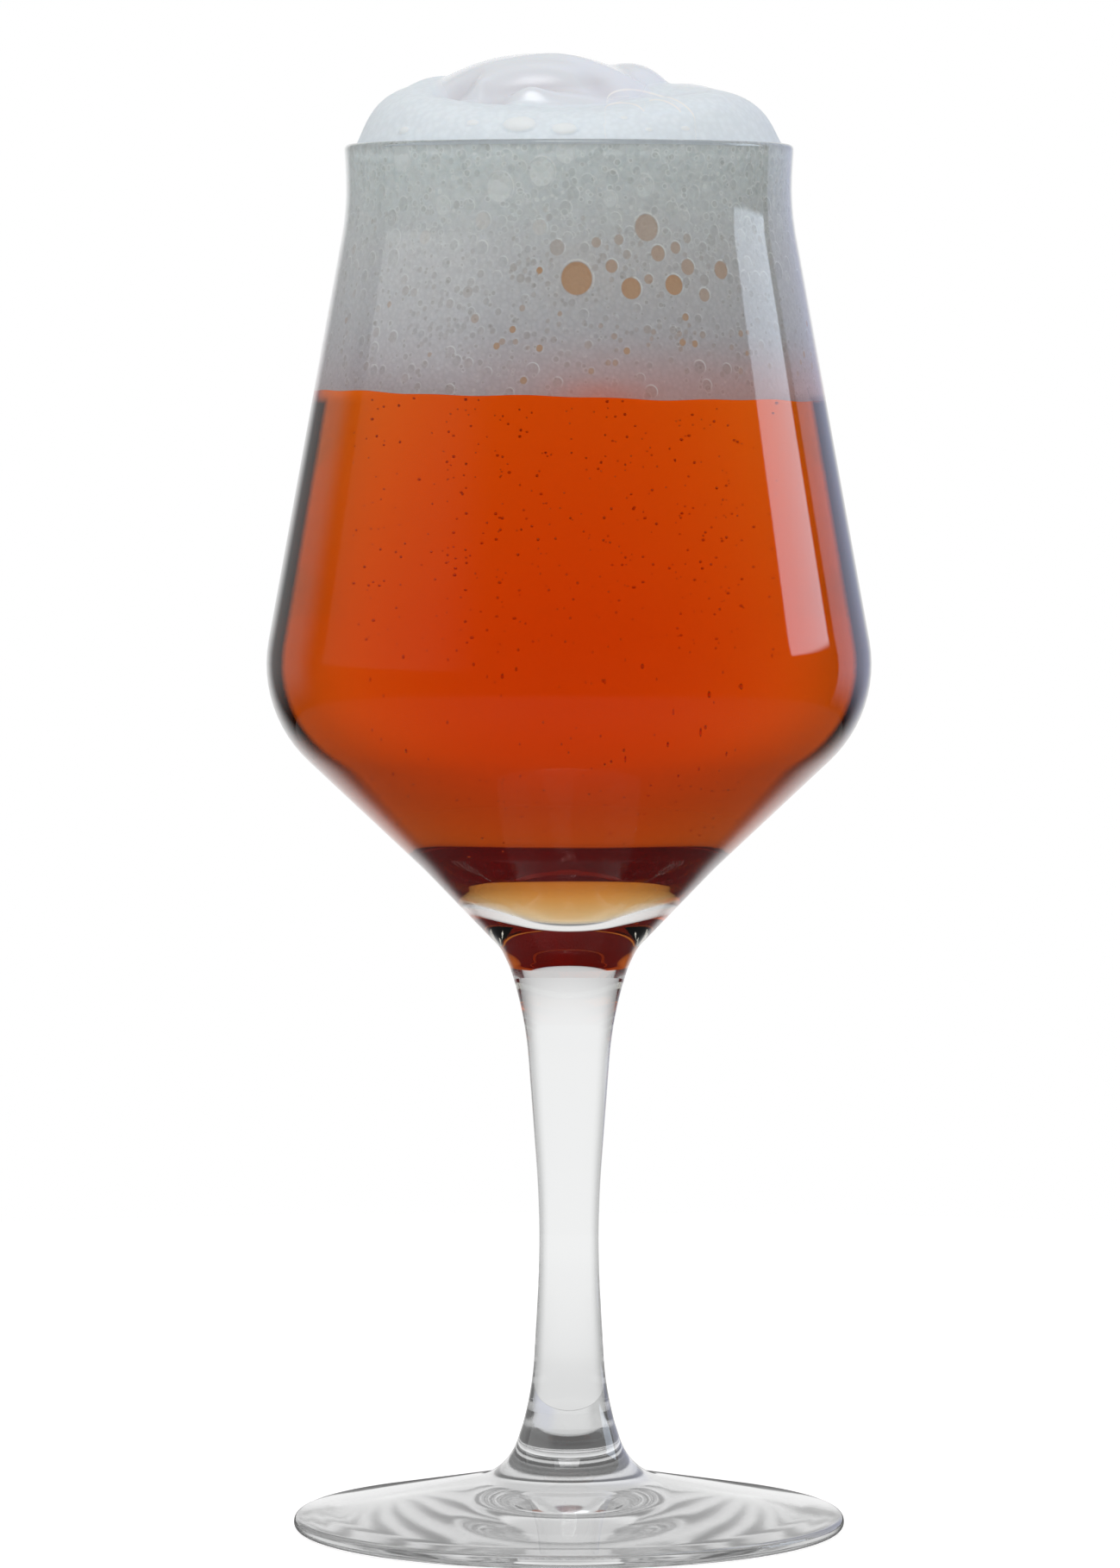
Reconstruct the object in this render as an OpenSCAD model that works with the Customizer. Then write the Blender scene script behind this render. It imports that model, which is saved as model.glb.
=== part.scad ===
// Stemmed tulip glass, filled with beer under a foam head.
// Millimetres, +Z up, with the origin on the table under the middle of the foot.

/* [Foot] */
// Diameter of the foot
foot_d = 79.6; // [70:0.2:90]
// Height of the foot's edge
foot_edge_h = 1.8; // [1.6:0.1:3.2]
// Rounding of the upper edge
foot_edge_round = 1; // [0.3:0.1:1.4]
// Rounding of the lower edge
foot_low_round = 0.8; // [0.3:0.1:1.4]
// Diameter at which the top of the foot would meet its neck
foot_corner_d = 17.9; // [16:0.1:22]
// Height at which the top of the foot would meet its neck
foot_corner_h = 7.8; // [5:0.1:10]
// Hollow round between the top of the foot and its neck
foot_round = 8.7; // [3:0.1:14]
// Height of the foot with its neck, up to the stem
foot_h = 15; // [12:0.5:20]
// Width of the flat ring that the glass stands on
ring_w = 5; // [2:0.5:10]
// Height of the hollow under the foot
hollow_h = 1.6; // [0.4:0.1:3]

/* [Stem] */
// Length of the stem between the foot's neck and the bowl
stem_h = 66.2; // [40:0.2:100]
// Diameter of the lower end, where it is fused to the foot
stem_low_d = 13.3; // [11:0.1:16]
// Diameter at the ankle, where the stem starts to widen downwards
ankle_d = 10.6; // [8:0.1:12]
// Diameter at which the two tapers of the waist would meet
waist_d = 8; // [6:0.1:9.6]
// Diameter at the throat, where the stem starts to widen upwards
throat_d = 12.7; // [10:0.1:15]
// Diameter of the upper end, where it is fused to the bowl
stem_top_d = 17.1; // [15:0.1:19]
// Hollow round of the ankle
ankle_round = 48; // [10:1:80]
// Hollow round of the waist
waist_round = 150; // [40:1:200]
// Hollow round of the throat
throat_round = 72; // [10:1:100]

/* [Bowl] */
// Thickness of the wall
wall = 1.4; // [1:0.1:2]
// Thickness of the glass under the middle of the drink, above the stem
bottom_t = 9.7; // [7:0.1:12]
// Rise of the dished floor, from its middle to its heel at the wall
dish_h = 7.7; // [5:0.1:10]
// Inside round of the heel, where the dished floor meets the wall
heel_round = 4; // [1:0.5:10]
// Diameter at which the slope of the dished floor would meet its level middle
middle_d = 5.4; // [3:0.1:10]
// Inside round of the dished floor's middle
middle_round = 13.5; // [6:0.5:20]
// Height of the base, from the stem to the foot of the lower taper
base_h = 2.7; // [2:0.1:5]
// Diameter at the foot of the lower taper
base_d = 19.6; // [19:0.1:24]
// Hollow round at the foot of the lower taper
base_round = 6; // [2:0.5:12]
// Height of the lower taper's flatter stretch
taper_h = 11.6; // [9:0.2:16]
// Diameter at which the lower taper steepens
taper_d = 42; // [36:0.5:48]
// Hollow round where the lower taper steepens
taper_round = 60; // [20:1:90]
// Height of the lower taper's other stretch, up to the shoulder
flank_h = 22.7; // [18:0.1:30]
// Diameter at which the two tapers of the bowl would meet at the shoulder
shoulder_d = 90.2; // [82:0.2:100]
// Outside round of the shoulder
shoulder_round = 19; // [8:0.5:24]
// Height of the upper taper, from the shoulder to the neck
body_h = 72.7; // [55:0.1:90]
// Diameter of the neck
neck_d = 63.5; // [56:0.1:70]
// Hollow round of the neck
neck_round = 40; // [10:1:60]
// Height of the lip, from the neck to the rim
lip_h = 8.5; // [6:0.1:14]
// Diameter of the rim
rim_d = 64.4; // [57:0.1:72]

/* [Drink] */
// Height of the foam inside the glass, from the beer to the rim
head_h = 36; // [10:0.5:70]
// Height of the foam mound above the rim
cap_h = 13.3; // [4:0.1:25]
// Clearance between the drink and the glass
drink_gap = 0.1; // [0.05:0.05:0.3]

/* [Hidden] */
$fn = 96;

// Colours
glass_colour = [0.86, 0.90, 0.92, 0.4];
beer_colour = [0.77, 0.24, 0.01];
head_colour = [0.74, 0.75, 0.73];
cap_colour = [0.95, 0.94, 0.90];

// Steps of each rounded corner, and of the hollow under the foot
arc_steps = 12;
hollow_steps = 10;
// Most of a side that one rounded corner may take up, where both its ends are rounded and where one is
reach_share = 0.48;
end_reach_share = 0.96;

// Heights of the stem's corners, of its length
ankle_share = 0.076;
waist_share = 0.428;
throat_share = 0.9;

// Heights above the table
stem_top_z = foot_h + stem_h;
bottom_z = stem_top_z + bottom_t;
base_z = stem_top_z + base_h;
taper_z = base_z + taper_h;
shoulder_z = taper_z + flank_h;
neck_z = shoulder_z + body_h;
rim_z = neck_z + lip_h;
beer_z = rim_z - head_h;

// The rim is a full round bead on the wall, and the foam cap starts where the bead does
bead = wall / 2;
cap_seat_z = rim_z - bead;
cap_r = rim_d / 2 - wall - drink_gap;

// Foam mound: rings and sides of its surface
cap_rings = 14;
cap_sides = 48;
// Share of the mound's height in its crown, above its steep edge
crown_share = 0.36;
// How sharply the edge turns over, and how it rises
edge_power = 6;
edge_root = 0.7;
// Lumps of the mound: place across and along, and spread, of its radius, and height, of its own height
lump_shares = [
  [-0.10, -0.10, 0.18, 0.06],
  [-0.55, -0.05, 0.16, -0.07],
  [0.50, 0.00, 0.30, -0.25],
  [0.12, 0.45, 0.25, -0.10],
  [0.85, -0.10, 0.12, 0.06],
  [-0.35, 0.60, 0.24, 0.03],
  [0.10, -0.62, 0.24, -0.08]
];

// Corners of an outline are [radius, height, round], from the top down
function place(corner) = [corner[0], corner[1]];
function unit(v) = v / norm(v);
function inward(v) = [v[1], -v[0]];
function turn_sign(a, b) = sign(a[0] * b[1] - a[1] * b[0]);

// Arc that rounds the corner p and meets both of its sides, towards a and towards b
function corner_arc(a, p, b, round, a_share, b_share) =
  let (
    u = unit(a - p),
    v = unit(b - p),
    half = acos(u * v) / 2,
    reach = min(round / tan(half), a_share * norm(a - p), b_share * norm(b - p)),
    radius = reach * tan(half),
    middle = p + unit(u + v) * radius / sin(half),
    from = p + u * reach - middle,
    to = p + v * reach - middle,
    start = atan2(from[1], from[0]),
    turn = (atan2(to[1], to[0]) - start + 540) % 360 - 180
  )
  [for (i = [0:arc_steps])
    let (angle = start + turn * i / arc_steps)
    middle + radius * [cos(angle), sin(angle)]];

function rounded(path) =
  let (last = len(path) - 1)
  [for (i = [0:last])
    each i == 0 || i == last
      ? [place(path[i])]
      : corner_arc(
          place(path[i - 1]), place(path[i]), place(path[i + 1]), path[i][2],
          i == 1 ? end_reach_share : reach_share,
          i == last - 1 ? end_reach_share : reach_share
        )];

// Corner of a path moved inwards by t, with its round to match
function inset(path, i, t) =
  let (
    a = unit(place(path[i]) - place(path[i - 1])),
    b = unit(place(path[i + 1]) - place(path[i])),
    n = unit(inward(a) + inward(b)),
    moved = place(path[i]) + n * t / (n * inward(a))
  )
  [moved[0], moved[1], path[i][2] + t * turn_sign(a, b)];

// Outside of the bowl, from its rim to the stem
bowl_path = [
  [rim_d / 2, cap_seat_z, 0],
  [neck_d / 2, neck_z, neck_round],
  [shoulder_d / 2, shoulder_z, shoulder_round],
  [taper_d / 2, taper_z, taper_round],
  [base_d / 2, base_z, base_round],
  [stem_top_d / 2, stem_top_z, 0]
];

// Inside of the bowl, moved in by t from its outside, down to a dished floor whose middle is at floor_z
function inside_path(t, floor_z) =
  let (
    shoulder = inset(bowl_path, 2, t),
    taper = inset(bowl_path, 3, t),
    lean = (shoulder[0] - taper[0]) / (shoulder[1] - taper[1]),
    heel_z = floor_z + dish_h
  )
  [
    [rim_d / 2 - t, cap_seat_z, 0],
    inset(bowl_path, 1, t),
    shoulder,
    [taper[0] + (heel_z - taper[1]) * lean, heel_z, heel_round],
    [middle_d / 2, floor_z, middle_round],
    [0, floor_z, 0]
  ];

function reversed(list) = [for (i = [len(list) - 1:-1:0]) list[i]];

rim_bead =
  [for (i = [1:arc_steps - 1])
    let (angle = 180 - 180 * i / arc_steps)
    [rim_d / 2 - bead, cap_seat_z] + bead * [cos(angle), sin(angle)]];

bowl_outline = concat(
  rounded(bowl_path),
  [[0, stem_top_z]],
  reversed(rounded(inside_path(wall, bottom_z))),
  rim_bead
);

drink_outline = concat(
  rounded(inside_path(wall + drink_gap, bottom_z + drink_gap)),
  [[0, cap_seat_z]]
);

stem_outline = concat(
  rounded([
    [stem_top_d / 2, stem_top_z, 0],
    [throat_d / 2, foot_h + throat_share * stem_h, throat_round],
    [waist_d / 2, foot_h + waist_share * stem_h, waist_round],
    [ankle_d / 2, foot_h + ankle_share * stem_h, ankle_round],
    [stem_low_d / 2, foot_h, 0]
  ]),
  [[0, foot_h], [0, stem_top_z]]
);

ring_in_r = foot_d / 2 - foot_low_round - ring_w;

// The hollow under the foot is a shallow bowl that starts at the ring
foot_outline = concat(
  rounded([
    [stem_low_d / 2, foot_h, 0],
    [foot_corner_d / 2, foot_corner_h, foot_round],
    [foot_d / 2, foot_edge_h, foot_edge_round],
    [foot_d / 2, 0, foot_low_round],
    [ring_in_r, 0, 0]
  ]),
  [for (i = [1:hollow_steps])
    let (out = 1 - i / hollow_steps)
    [ring_in_r * out, hollow_h * (1 - out * out)]],
  [[0, foot_h]]
);

// Height of the foam mound above the rim, at a place given in shares of its radius
function lump(p, l) = l[3] * exp(-((p[0] - l[0]) ^ 2 + (p[1] - l[1]) ^ 2) / (2 * l[2] ^ 2));
function lumps(p, i = 0) = i == len(lump_shares) ? 0 : lump(p, lump_shares[i]) + lumps(p, i + 1);
function mound(p) =
  let (
    out = min(1, norm(p)),
    edge = (1 - out ^ edge_power) ^ edge_root,
    crown = cos(90 * out)
  )
  cap_h * edge * (1 - crown_share + crown_share * crown + lumps(p));

function cap_point(ring, side) =
  let (
    p = sin(90 * ring / cap_rings) * [cos(360 * side / cap_sides), sin(360 * side / cap_sides)]
  )
  [cap_r * p[0], cap_r * p[1], rim_z + mound(p)];

cap_points = concat(
  [[0, 0, cap_seat_z], [0, 0, rim_z + mound([0, 0])]],
  [for (ring = [1:cap_rings], side = [0:cap_sides - 1]) cap_point(ring, side)],
  [for (side = [0:cap_sides - 1])
    cap_r * [cos(360 * side / cap_sides), sin(360 * side / cap_sides), 0] + [0, 0, cap_seat_z]]
);

// Number of a point, counting rings from 1, with the lower edge as the ring after the last
function at(ring, side) = 2 + (ring - 1) * cap_sides + side % cap_sides;

cap_faces = [
  for (side = [0:cap_sides - 1])
    each concat(
      [[1, at(1, side + 1), at(1, side)]],
      [for (ring = [1:cap_rings])
        each [
          [at(ring, side), at(ring, side + 1), at(ring + 1, side + 1)],
          [at(ring, side), at(ring + 1, side + 1), at(ring + 1, side)]
        ]],
      [[0, at(cap_rings + 1, side), at(cap_rings + 1, side + 1)]]
    )
];

// Hollow bowl with its thick bottom
module bowl() {
  color(glass_colour)
    rotate_extrude()
      polygon(bowl_outline);
}

// Solid stem, fused end to end between the bowl and the foot
module stem() {
  color(glass_colour)
    rotate_extrude()
      polygon(stem_outline);
}

// Foot with its neck, hollow underneath
module foot() {
  color(glass_colour)
    rotate_extrude()
      polygon(foot_outline);
}

// Slice of the drink between two heights, in the shape of the bowl's inside
module drink(low_z, high_z) {
  rotate_extrude()
    intersection() {
      polygon(drink_outline);
      translate([0, low_z])
        square([shoulder_d, high_z - low_z]);
    }
}

// Beer from the bottom of the bowl up to the foam
module beer() {
  color(beer_colour)
    drink(stem_top_z, beer_z);
}

// Wet foam inside the glass
module foam_head() {
  color(head_colour)
    drink(beer_z, cap_seat_z);
}

// Creamy mound above the rim
module foam_cap() {
  color(cap_colour)
    polyhedron(cap_points, cap_faces);
}

bowl();
stem();
foot();
beer();
foam_head();
foam_cap();
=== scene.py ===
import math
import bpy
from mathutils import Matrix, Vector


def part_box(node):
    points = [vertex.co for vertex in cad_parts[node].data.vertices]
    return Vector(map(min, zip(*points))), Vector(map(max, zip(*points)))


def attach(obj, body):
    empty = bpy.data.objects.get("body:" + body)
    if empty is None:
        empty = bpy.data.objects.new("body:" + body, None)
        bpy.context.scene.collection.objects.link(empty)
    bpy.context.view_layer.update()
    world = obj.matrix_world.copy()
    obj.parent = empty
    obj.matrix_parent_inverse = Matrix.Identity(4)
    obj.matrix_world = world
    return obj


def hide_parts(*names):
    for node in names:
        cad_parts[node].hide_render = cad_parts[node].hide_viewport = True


bl_info = {
    "name": "Tulip beer glass",
    "version": (1, 0, 0),
    "blender": (4, 5, 0),
    "location": "View3D > Sidebar > Tulip glass",
    "description": "Dresses the packed tulip glass with clear glass, beer and foam",
    "category": "Object",
}

import bmesh
import bpy
import numpy as np
from bpy.props import FloatProperty, FloatVectorProperty, IntProperty, PointerProperty
from mathutils import Vector

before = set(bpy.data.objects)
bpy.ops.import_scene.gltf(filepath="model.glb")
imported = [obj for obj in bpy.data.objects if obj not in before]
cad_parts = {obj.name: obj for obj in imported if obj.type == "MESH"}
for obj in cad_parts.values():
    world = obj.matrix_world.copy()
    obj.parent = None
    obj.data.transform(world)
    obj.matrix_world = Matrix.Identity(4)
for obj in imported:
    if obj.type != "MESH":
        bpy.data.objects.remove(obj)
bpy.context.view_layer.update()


def in_metres(lengths, rows):
    """Rows of a table whose first values are lengths in millimetres, with those in metres."""
    return [(*(value / 1000.0 for value in row[:lengths]), *row[lengths:]) for row in rows]


# Ring points closer than this are one ring, and a radius under the pole's is on the axis
SAME_RING = 2e-6
POLE = 1e-7

# Distance from a bubble, in its own radii, that stands for none near
NO_BUBBLE = 9.0

# Radii under which a bubble's painted rim highlight gets no thinner, and under which it gets fainter
WIDE_RIM = 0.0013
SMALL_BUBBLE = 0.0009

# Depths of large, small and tan pockets in the foam, as shares of the radius
POCKET = 0.12
SMALL_POCKET = 0.15
TAN_POCKET = 0.10

# Rings of the foam's underside, as shares of its radius, and its skin's reach into the wall
UNDER_RINGS = (0.35, 0.7, 0.92)
SKIN_REACH = 0.00003

# Numbers of a glass piece's materials
CLEAR, WET, SEAM = range(3)

# Painted shade on the glass's edges, standing for dark surroundings seen in them: facings where the dark
# edges start and are full, darkness and waviness
GLASS_EDGES = {"bowl": (0.60, 0.70, 1.0, 0.008), "stem": (0.56, 0.80, 0.8, 0.05)}

# Heights where the painted dark edge ends on the stem and starts on the bowl, and its fade at the foam
STEM_END = (0.078, 0.084)
BOWL_START = (0.098, 0.116)
EDGE_FADE = 0.001

# Streams of bubbles: shares of the beer's area, first heights, steps up and the turn at a step
STREAM_AREA = (0.02, 0.36)
STREAM_START = (0.012, 0.05)
STREAM_STEP = (0.004, 0.022)
STREAM_TURN = 0.03

# Their room to wall and top, the depth that sets their spread, and the beer's rise behind the foam
WALL_ROOM = 0.005
TOP_ROOM = 0.003
SPREAD_DEPTH = 0.03
BEER_RISE = 0.0012

# Bubbles on the front: place across, height and radius in mm, and how tan and how pale they are
FRONT_BUBBLES = in_metres(3, (
    (1, 179.9, 2.2, 1, 0),
    (8.5, 178.5, 1.43, 1, 0),
    (14.4, 179, 1.35, 1, 0),
    (20.9, 181.1, 1.2, 0.65, 0),
    (10.6, 187, 1.8, 0.5, 0),
    (12.2, 183.4, 1.05, 0.6, 0),
    (14.6, 184.2, 0.76, 0.5, 0),
    (16.3, 181.5, 1.05, 0.55, 0),
    (18.6, 177.6, 0.85, 0.5, 0),
    (5.8, 181.6, 0.85, 0.65, 0),
    (-1.7, 184.2, 1.05, 0.2, 0),
    (-13, 174.3, 0.55, 0.35, 0),
    (-14, 178, 0.72, 0.1, 0),
    (-22.6, 178.2, 0.6, 0.1, 0),
    (3.7, 184.9, 0.65, 0.4, 0),
    (6.8, 185.3, 0.65, 0.35, 0),
    (-6.7, 179.9, 0.55, 0.1, 0),
    (-7.7, 181.4, 0.5, 0.1, 0),
    (10.9, 179.8, 0.6, 0.5, 0),
    (7.9, 183.2, 0.55, 0.2, 0),
    (16.2, 185.5, 0.6, 0.2, 0),
    (16, 174.5, 0.45, 0.8, 0),
    (-6.3, 165.7, 0.42, 0.9, 0),
    (-4.1, 170.2, 0.4, 0.9, 0),
    (-10, 170.5, 0.4, 0.9, 0),
    (-7.8, 172.8, 0.4, 0.9, 0),
    (7.9, 169.8, 0.4, 0.9, 0),
    (15.6, 171, 0.42, 0.9, 0),
    (17.3, 170.8, 0.4, 0.9, 0),
    (-4.1, 181, 0.4, 1, 0),
    (-9.6, 192.7, 2, 0, 1),
    (-3.8, 194.8, 1.9, 0, 0.9),
    (-23.1, 197.1, 1.8, 0, 0.7),
    (-0.5, 197.6, 1.5, 0, 0.8),
    (-17.4, 190.1, 1.25, 0, 0.6),
    (-11.9, 188, 1.15, 0.1, 0.4),
    (-4.1, 187, 1.05, 0.1, 0.4),
    (5.6, 191, 1.05, 0, 0.7),
    (-19.9, 185.7, 0.95, 0.1, 0.3),
    (10.2, 192.9, 1.5, 0, 0.5),
))

# Clusters of small ones: place across, height and half widths in mm, number, and how tan they are
BUBBLE_CLUSTERS = in_metres(4, (
    (-13.1, 178.3, 4, 2, 16, 0.05),
    (-16.5, 173.3, 6.5, 2.2, 60, 0.05),
    (-5.3, 181.5, 3.5, 2.6, 22, 0.1),
    (16.9, 172.3, 2.6, 2.8, 20, 0.3),
    (-4.6, 171.4, 3, 2.2, 12, 0.2),
    (-0.3, 177, 3.2, 1.2, 14, 0.05),
    (5.7, 183, 4, 2.2, 14, 0.1),
    (9.5, 172.4, 5.5, 2, 18, 0.4),
    (-20, 179, 5, 3, 14, 0.05),
))

# Values that the foam's points carry for its materials
BUBBLE_MARKS = ("far", "lit", "shade", "tan", "pale")
MOUND_MARKS = ("cream", "hollow", "film", "disc")

# Layers of beads on the wet foam, with painted highlights on their rims and painted shade in their discs:
# scale, share of cells, size, how light rims and dark discs are, and zone
BEAD_LAYERS = (
    (1000.0, 0.35, 0.34, 0.22, 1.0, "lower"),
    (480.0, 0.2, 0.26, 0.22, 1.0, "lower"),
    (780.0, 0.8, 0.36, 0.7, 0.65, "upper"),
)

# Scales of the foam's fine and coarse cells, on the head and on the mound
HEAD_CELLS = (1500.0, 800.0)
MOUND_CELLS = (1100.0, 520.0)

# Head: where painted shade darkens its right side and where painted light glows on it, heights of glow and
# spot, the spot's ends and softness
SHADED_SIDE = (-0.024, 0.016)
GLOW_SIDE = (-0.020, 0.010)
GLOW_HEIGHT = 0.010
SPOT_HEIGHT = 0.0035
SPOT_ACROSS = (-0.001, 0.009, 0.006)

# Lobes of cream on the mound: place across and along, half widths and height above the rim, in mm
CREAM_LOBES = in_metres(5, (
    (-4, 0, 20, 18, 13.1),
    (8.5, 3, 8.5, 9.5, 11.8),
    (17, 2, 9.5, 11, 8.7),
    (-18.5, 5, 8.5, 11, 9.9),
    (1, 14, 19, 11, 11),
))

# Folds in the cream: place across and along, half widths and rise, in mm
CREAM_FOLDS = in_metres(5, (
    (-5, -12.8, 7.5, 1.7, -1.9),
    (-5.6, -15.2, 2.6, 1.3, 1),
    (-11, -15, 3, 1.4, -1),
    (-15.7, -9.8, 2.8, 2.2, -1.4),
    (-12.7, -12, 1.2, 2.4, 1),
    (4.5, -11, 3, 2.4, -1.2),
    (9.5, -13, 4, 2, 0.6),
    (1, -6, 9, 1.2, 0.5),
    (15, -9, 4, 2, -0.8),
))

# Painted highlights along the films of burst bubbles: place across, height above the rim, half width and rise
# in mm, and slant
FILM_ARCS = in_metres(4, (
    (11.5, 4.2, 6.2, 3, -0.25),
    (7.8, 3.9, 2.8, 1.6, -0.15),
    (13.5, 4.6, 2.2, 1, -0.4),
))

# Half widths of a film's edge, in full and at its end, the reach of its mark, and the films' end at the back
FILM_EDGE = (0.00007, 0.00022)
FILM_REACH = 0.001
FILM_BACK = -0.001

# Where the mound's back and its droop on the right start, and the stretch of both
BACK_START = -0.014
DROOP_START = 0.004
MOUND_FADE = 0.016

# How far the mound's front rises to the sides, from where and how far out
FRONT_RISE = 0.0034
FRONT_MIDDLE = -0.001
FRONT_WIDE = 0.022

# How softly the mound's lobes meet, how they fall off, and the height of its ripples
LOBE_SOFT = 0.0004
LOBE_FALL = 0.003
RIPPLE = 0.00009

# How flat the bubbles low on the mound are, across, along and up
SKIRT_FLAT = np.array([1.0, 1.0, 2.0])

# Flat bubbles low on its front: place across, height above the rim and half width, in mm
SKIRT_BUBBLES = in_metres(3, (
    (-6.9, 2.1, 2.5),
    (-0.6, 1.4, 1.9),
    (-13.4, 2.3, 1),
    (15.8, 1.7, 0.8),
    (-22.3, 1.6, 1.2),
    (10.6, 1.3, 0.6),
    (8, 3, 0.6),
))

# Levels of the studio's patches, and the slope of the window's sill
STRIP_LEVEL = 3.6
UPPER_LEVEL = 5.0
LEFT_LEVEL = 0.36
SILL = 0.3551

# Directions of the soft light and of the tall window's
SOFT_FROM = (-0.35, -0.50, 0.79)
STRIP_FROM = (0.95, -0.24, 0.2)

# Floor: height, greys as it lights and as it is seen, and in glass its near and far levels, the near one a
# painted shadow, what bent light loses of the near one, and the mirrored level, a painted shade everywhere
# but far behind
FLOOR_Z = -0.0002
FLOOR_GREYS = (0.35, 0.7)
FLOOR_SHADOWED = 0.80
FLOOR_FAR = 0.95
FLOOR_BENT = 0.66
FLOOR_MIRRORED_SHADE = 0.07

# Place of the lamp and of what it is turned to
LAMP_AT = (-0.12, -0.35, 0.75)
LAMP_AIM = (0.0, 0.0, 0.2)

# Light paths long enough for glass within glass
BOUNCES = {"max_bounces": 48, "transmission_bounces": 32, "glossy_bounces": 32, "diffuse_bounces": 8}


def level(name, description, default, unit="NONE"):
    """Property for a number."""
    return FloatProperty(name=name, description=description, default=default, unit=unit, precision=5)


def length(name, description, default):
    """Property for a size in metres."""
    return level(name, description, default, "LENGTH")


def count(name, description, default):
    """Property for a whole number."""
    return IntProperty(name=name, description=description, default=default, min=1)


def tint(name, description, default):
    """Property for a colour."""
    return FloatVectorProperty(
        name=name, description=description, default=(*default, 1.0), subtype="COLOR", size=4, min=0.0, max=1.0
    )


class GlassSettings(bpy.types.PropertyGroup):
    """Fineness and optics of the three glass pieces"""

    sides: count("Sides", "Sides of a turned piece", 192)
    step: length("Step", "Longest side of a turned outline", 0.0012)
    ior: level("Glass IOR", "Index of the glass in air", 1.5)
    wet_ior: level("Wet IOR", "Index of the glass against the drink", 1.12)
    colour: tint("Glass colour", "Tint of the glass", (0.955, 0.962, 0.962))
    foot_colour: tint("Foot colour", "Tint of the thick foot", (0.90, 0.905, 0.905))
    waviness: level("Waviness", "Waviness of the foot and the inside", 0.05)
    foot_roughness: level("Foot roughness", "Softness of what the foot shows", 0.05)
    # Painted shade: the near-black that the glass's grazed edges turn to
    painted_edge_shade: tint("Edge colour", "Tint of the glass where sight grazes it", (0.001, 0.0011, 0.002))


class BeerSettings(bpy.types.PropertyGroup):
    """Colour and bubbles of the beer"""

    colour: tint("Beer colour", "Colour that the beer lets through", (0.945, 0.62, 0.03))
    density: level("Density", "Strength of the beer's colour, by the metre", 100.0)
    overlap: length("Overlap", "Reach of the drink into the wall", 0.00004)
    ior: level("Beer IOR", "Index of the beer against a bubble", 1.34)
    streams: count("Streams", "Rows of rising bubbles", 150)
    bubble_small: length("Small bubble", "Radius of the smallest rising bubble", 0.0001)
    bubble_large: length("Large bubble", "Radius of the largest rising bubble", 0.0002)
    seed: count("Seed", "Seed of the bubbles' places", 11)


class FoamSettings(bpy.types.PropertyGroup):
    """Sizes, bubbles and colours of the foam"""

    head_sides: count("Head sides", "Sides of the wet foam", 680)
    head_rows: count("Head rows", "Rows of the wet foam", 140)
    tilt: level("Tilt", "Slope of the line between beer and foam", 0.022)
    skin: length("Skin", "Depth of the skin behind the glass", 0.00008)
    coarse: count("Coarse bubbles", "Coarse bubbles near the rim", 1600)
    fine: count("Fine bubbles", "Fine bubbles lower down", 600)
    stray: count("Stray bubbles", "Large bubbles round the other sides", 30)
    specks: count("Specks", "Small tan bubbles above the beer", 60)
    seed: count("Seed", "Seed of the bubbles' places", 7)
    cap_height: length("Cap height", "Height of the mound above the rim", 0.0133)
    cap_sides: count("Cap sides", "Sides of the foam mound", 540)
    cap_rings: count("Cap rings", "Rings of the foam mound", 120)
    brow_height: length("Brow height", "Height of its frothy front", 0.0048)
    back_height: length("Back height", "Height of its frothy sides and back", 0.0092)
    droop: length("Droop", "How much lower the right side is", 0.0012)
    edge_power: level("Edge turn", "How sharply the mound's edge turns over", 8.0)
    edge_root: level("Edge rise", "How the mound's edge rises", 0.9)
    # Painted light and shade: the wet foam is lighter towards the rim and darker towards the beer
    lit_top_colour: tint("Top colour", "Wet foam near the rim", (0.85, 0.90, 0.90))
    middle_colour: tint("Middle colour", "Wet foam half way down", (0.78, 0.78, 0.79))
    shaded_low_colour: tint("Low colour", "Wet foam above the beer", (0.67, 0.65, 0.68))
    # Painted light: the tan of the beer's light seen inside the large bubbles
    beer_lit_pocket_colour: tint("Pocket colour", "Inside of the large bubbles", (0.65, 0.41, 0.25))
    # Painted shade: what the inside of a pocket and of a small bead keeps of the foam's colour
    pocket_shade: tint("Pocket shade", "What a pocket leaves of the foam's colour", (0.5, 0.49, 0.46))
    bead_shade: tint("Bead shade", "What a small bubble leaves of the foam's colour", (0.87, 0.86, 0.84))
    # Also the colour of the painted highlights on bubble rims and cell walls
    pale_and_highlight_colour: tint("Pale colour", "Large bubbles near the rim", (0.97, 0.99, 0.97))
    # Painted light: the beer's red light glowing in the foam just above it
    painted_glow_colour: tint("Glow colour", "Foam that the beer shines through", (0.95, 0.28, 0.18))
    cream_colour: tint("Cream colour", "Smooth top of the mound", (0.84, 0.865, 0.91))
    froth_colour: tint("Froth colour", "Frothy sides of the mound", (0.87, 0.935, 0.99))
    disc_colour: tint("Disc colour", "Flat bubbles low on the mound", (0.93, 0.955, 0.95))
    # Painted shade: darker cream in the hollows between the folds
    hollow_shade_colour: tint("Hollow colour", "Wet hollows between the folds", (0.72, 0.70, 0.74))
    # Painted highlight: light lines along the edges of burst bubbles' films
    film_highlight_colour: tint("Film colour", "Edges of burst bubbles", (0.98, 0.96, 0.93))


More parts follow.
